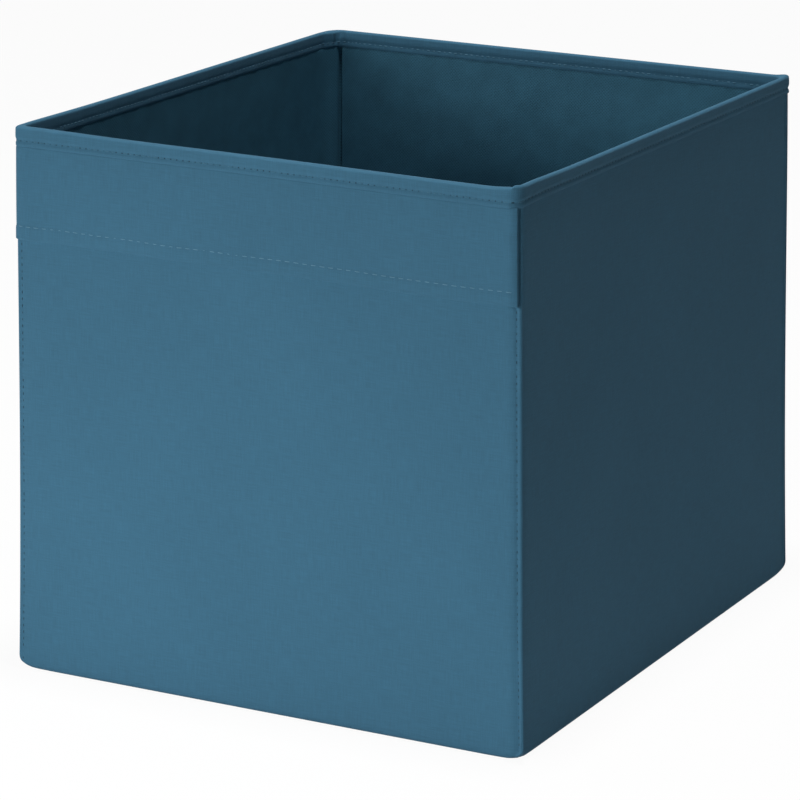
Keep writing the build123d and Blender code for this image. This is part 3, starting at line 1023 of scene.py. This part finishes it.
hem_share = (hem_top - band_low.z) / (band_top - band_low.z)
below_hem = np.linspace(0.012, hem_share * 0.94, 8)
face = np.concatenate([below_hem, np.linspace(hem_share * 1.05, 1, 30)])
face_proud = np.where(face < hem_share, hem_proud, band_proud) + 0 * face
fold = np.linspace(-math.pi / 2, math.pi / 2, 7)[1:-1]
fold_middle = (hem_proud + band_gap) / 2
fold_half = (hem_proud - band_gap) / 2
fold_levels = 0.012 - 0.012 * np.cos(fold)
fold_prouds = fold_middle + fold_half * np.sin(fold)
loop_levels = np.concatenate([face[::-1][:-1], [0.012], fold_levels[::-1], face[::3], [1.0]])
loop_prouds = np.concatenate(
    [face_proud[::-1][:-1], [hem_proud], fold_prouds[::-1], band_gap + 0 * face[::3], [band_gap]]
)
end_steps = [0, 0.4, 0.7, 1, 1.3, 1.6, 1.9, 2.2, 2.7, 3.3, 4, 4.7, 5.4, 6.1, 7, 8, 9, 10]
end_steps = np.array(end_steps + [11.5, 13, 15, 18, 22])
end_shares = end_steps * 0.001 / (2 * wall_half_width)
inner_shares = np.linspace(end_shares[-1], 0.5, 64)[1:]
left_shares = np.concatenate([end_shares, inner_shares])
right_shares = 1 - left_shares[::-1]
hem_thread = sewing_thread("hem_thread", hem_thread_blue)
for half, shares, end in (("left", left_shares, -1), ("right", right_shares, 1)):
    points, runs, rises = band_half(shares, loop_levels, loop_prouds)
    band = mesh_from_grid(
        f"pull_band_{half}", points, runs, rises, lids="first last"
    )
    finish_piece(band, blue_cloth, "outer_cloth", None, "pull_band")
    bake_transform(band)
    stitch_shares = shares[(shares > 0.012) & (shares < 0.988)]
    level = (hem_stitch_height - band_low.z) / (band_top - band_low.z)
    row, _, nx, ny = band_points(stitch_shares[None, :], np.array([[level]]), np.array([[hem_proud]]))
    normals = np.stack([nx, ny, 0 * nx], axis=-1)[0]
    uneven = stitch_unevenness if half == "left" else 0.0001
    name = f"hem_stitches_{half}"
    shape = (hem_stitch_pitch, hem_stitch_length, hem_thread_radius, hem_stitch_proud)
    stitches = sew(name, row[0], normals, *shape, uneven)
    finish_piece(stitches, hem_thread, "thread", None, "band_hem_stitching")
    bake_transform(stitches)

# The band's upper turning lies flat on the front panel, all of it under the binding.
turning_levels = np.linspace(binding_low.z + 0.0008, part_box("pull_band_header")[1].z - 0.0008, 8)
turning_heights = np.concatenate([turning_levels, turning_levels[::-1]])
turning_prouds = np.concatenate([0.0015 + 0 * turning_levels, 0.0002 + 0 * turning_levels])
turning_run = np.linspace(-1, 1, 60)[:, None] * (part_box("pull_band_header")[1].x - 0.0095)
turning_x = turning_run + 0 * turning_heights
turning_y = wall_front + rim_draw - turning_prouds - 0.00002 * np.sin(turning_run * 500)
turning_z = turning_heights * tallness(turning_x, -wall_half_depth)
turning = np.stack([turning_x, turning_y, turning_z], axis=-1)[:, ::-1]
turning_map = np.concatenate([turning_heights, turning_heights[:1]])[None, :] + 0 * turning_run
turning_run = turning_run + 0 * turning_map
header = mesh_from_grid(
    "band_turning", turning, turning_run, turning_map, lids="first last"
)
finish_piece(header, blue_cloth, "outer_cloth", "shell", "pull_band_header")

# ---------------------------------------------------------------- loose bottom
# A board in a sleeve of the nonwoven lies loose on the floor and stiffens it. The two
# covers meet in a flat seam round its edge, sewn two millimetres in.
insert_low, insert_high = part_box("insert_top_cover")
under_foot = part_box("insert_bottom_cover")[0].z
insert_half_width = insert_high.x
insert_half_depth = (insert_high.y - insert_low.y) / 2
cover_thickness = 0.0005
cover_corner_radius = 0.006
loose_board_radius = 0.005
seam_inset = 0.002
sleeve_thread_radius = 0.00022
seam_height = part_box("insert_stitching")[0].z
insert_flat = np.linspace(0.012, insert_half_width - 0.004, 12)


def cover_heights(insets, seam, crown):
    """A cover's height: flat seam margin, then a smooth rise over the board's edge."""
    return seam + (crown - seam) * ramp(insets, 0.0026, 0.0040)


edge = np.array([0, 0.0006, 0.0014, 0.0022, 0.0027, 0.0030, 0.0033, 0.0036, 0.0040, 0.0050, 0.008])
insets = np.concatenate([edge, insert_flat])
for half, seam, crown, support in (
    ("top", seam_height, insert_high.z, "loose_board"),
    ("bottom", seam_height - 0.0006, under_foot, "inner_floor"),
):
    heights = cover_heights(insets, seam, crown)
    flip = half == "bottom"
    cover = ring_sheet(
        f"sleeve_{half}",
        insert_half_width,
        insert_half_depth,
        cover_corner_radius,
        insets,
        heights,
        flip,
    )
    thicken(cover, cover_thickness)
    finish_piece(cover, lining_cloth, "nonwoven", "insert", f"insert_{half}_cover")

board_low, board_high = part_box("insert_board")
board_rows = np.concatenate([[0.15, 0.02, 0.0], [0.0, 0.02, 0.15], [0.6]]) * 0.002
board_heights = np.array([0, 0.1, 0.3, 0.7, 0.9, 1, 1])
loose_columns = ring_columns(0.012)
lengthwise = (board_high.y - board_low.y) / 2
insets = np.concatenate([[0.06, 0.03], board_rows, [0.03, 0.06]])[:, None]
heights = np.concatenate([[0, 0], board_heights, [1, 1]])[:, None]
heights = board_low.z + 0.0001 + heights * (board_high.z - board_low.z - 0.0002)
x, y, _, _ = ring_surface(
    loose_columns,
    board_high.x - insets,
    lengthwise - insets,
    np.maximum(loose_board_radius - insets, least_radius),
)
points = np.stack([x, wall_centre_y + y, heights + 0 * x], axis=-1)
wrapped = np.concatenate([points, points[:, :1]], axis=1)
loose_board = mesh_from_grid(
    "loose_board", points, wrapped[..., 0], wrapped[..., 1], lids="first last"
)
finish_piece(loose_board, grey_board, "paperboard", "insert", "insert_board")

sleeve_columns = ring_columns(0.004)
x, y, _, _ = ring_surface(
    sleeve_columns,
    insert_half_width - seam_inset + np.zeros((1, 1)),
    insert_half_depth - seam_inset,
    cover_corner_radius - seam_inset,
)
line = np.stack([x[0], wall_centre_y + y[0], seam_height + 0 * x[0]], axis=-1)
line = np.concatenate([line, line[:1]])
normals = np.array([[0, 0, 1.0]]) + np.zeros((len(line), 1))
shape = (rim_stitch_pitch, rim_stitch_length, sleeve_thread_radius, low_stitch_proud)
stitches = sew("sleeve_stitches", line, normals, *shape)
finish_piece(stitches, rim_thread, "thread", "insert", "insert_stitching")

# ---------------------------------------------------------------- studio
# A pale floor, a lamp overhead, large soft ones in front and at the left, a low card in
# front, and a dim white surround. The floor and the surround show white to the camera.


def seen_directly(nodes, links):
    """1 where the camera sees the surface, by itself or through gloss or glass, else 0."""
    path = nodes.new("ShaderNodeLightPath").outputs
    seen = maths(nodes, links, "MAXIMUM", path["Is Camera Ray"], path["Is Glossy Ray"])
    return maths(nodes, links, "MAXIMUM", seen, path["Is Transmission Ray"])


floor_y, floor_x = np.meshgrid([-6.0, 6.0], [-6.0, 6.0], indexing="ij")
studio_floor = mesh_from_grid(
    "studio_floor",
    np.stack([floor_x, floor_y, -0.0003 + 0 * floor_x], axis=-1),
    floor_x,
    floor_y,
)
floor_paint, nodes, links, shader = new_material("pale_floor")
shader.inputs["Base Color"].default_value = (0.60, 0.60, 0.60, 1)
shader.inputs["Roughness"].default_value = 0.9
shader.inputs["Specular IOR Level"].default_value = 0.1
seen_direct = seen_directly(nodes, links)
white = nodes.new("ShaderNodeEmission")
white.inputs["Strength"].default_value = 1.03
lit = nodes.new("ShaderNodeMixShader")
links.new(maths(nodes, links, "MULTIPLY", seen_direct, 0.92), lit.inputs[0])
links.new(shader.outputs[0], lit.inputs[1])
links.new(white.outputs[0], lit.inputs[2])
links.new(lit.outputs[0], nodes["Material Output"].inputs["Surface"])
studio_floor.data.materials.append(floor_paint)

surround = bpy.data.worlds.new("surround")
bpy.context.scene.world = surround
surround.use_nodes = True
nodes = surround.node_tree.nodes
links = surround.node_tree.links
seen_direct = seen_directly(nodes, links)
nodes["Background"].inputs["Color"].default_value = (1, 1, 1, 1)
whiteness = maths(nodes, links, "MULTIPLY_ADD", seen_direct, 0.95, 0.05)
links.new(whiteness, nodes["Background"].inputs["Strength"])


def soft_lamp(name, place, aim, width, height, power):
    """A rectangular lamp at a place, facing the aim."""
    lamp = bpy.data.lights.new(name, "AREA")
    lamp.shape = "RECTANGLE"
    lamp.size = width
    lamp.size_y = height
    lamp.energy = power
    holder = bpy.data.objects.new(name, lamp)
    bpy.context.scene.collection.objects.link(holder)
    back = np.array(place, float) - np.array(aim, float)
    across = math.hypot(back[0], back[1])
    holder.location = place
    holder.visible_camera = False
    holder.rotation_euler = (math.atan2(across, back[2]), 0, math.atan2(back[0], -back[1]))


soft_lamp("front_lamp", (-0.75, -2.8, 0.80), (0, 0, 0.30), 1.6, 0.4, 29)
soft_lamp("front_card", (-0.1, -0.65, 0.01), (0, -0.19, 0.05), 0.9, 0.4, 2.5)
soft_lamp("left_lamp", (-2.9, -0.5, 0.93), (0, 0, 0.33), 0.9, 0.5, 6)
soft_lamp("top_lamp", (0.10, -0.10, 2.5), (0.10, -0.10, 0), 0.35, 0.35, 46)

camera_data = bpy.data.cameras.new("camera")
camera_data.sensor_width = 36
camera_data.lens = 175.49
camera_data.clip_end = 50
camera = bpy.data.objects.new("camera", camera_data)
bpy.context.scene.collection.objects.link(camera)
camera.location = (1.0806, -2.0415, 0.8011)
camera.rotation_euler = (math.radians(90 - 15.918), 0, math.radians(28.126))
bpy.context.scene.camera = camera
bpy.context.scene.view_settings.view_transform = "Standard"
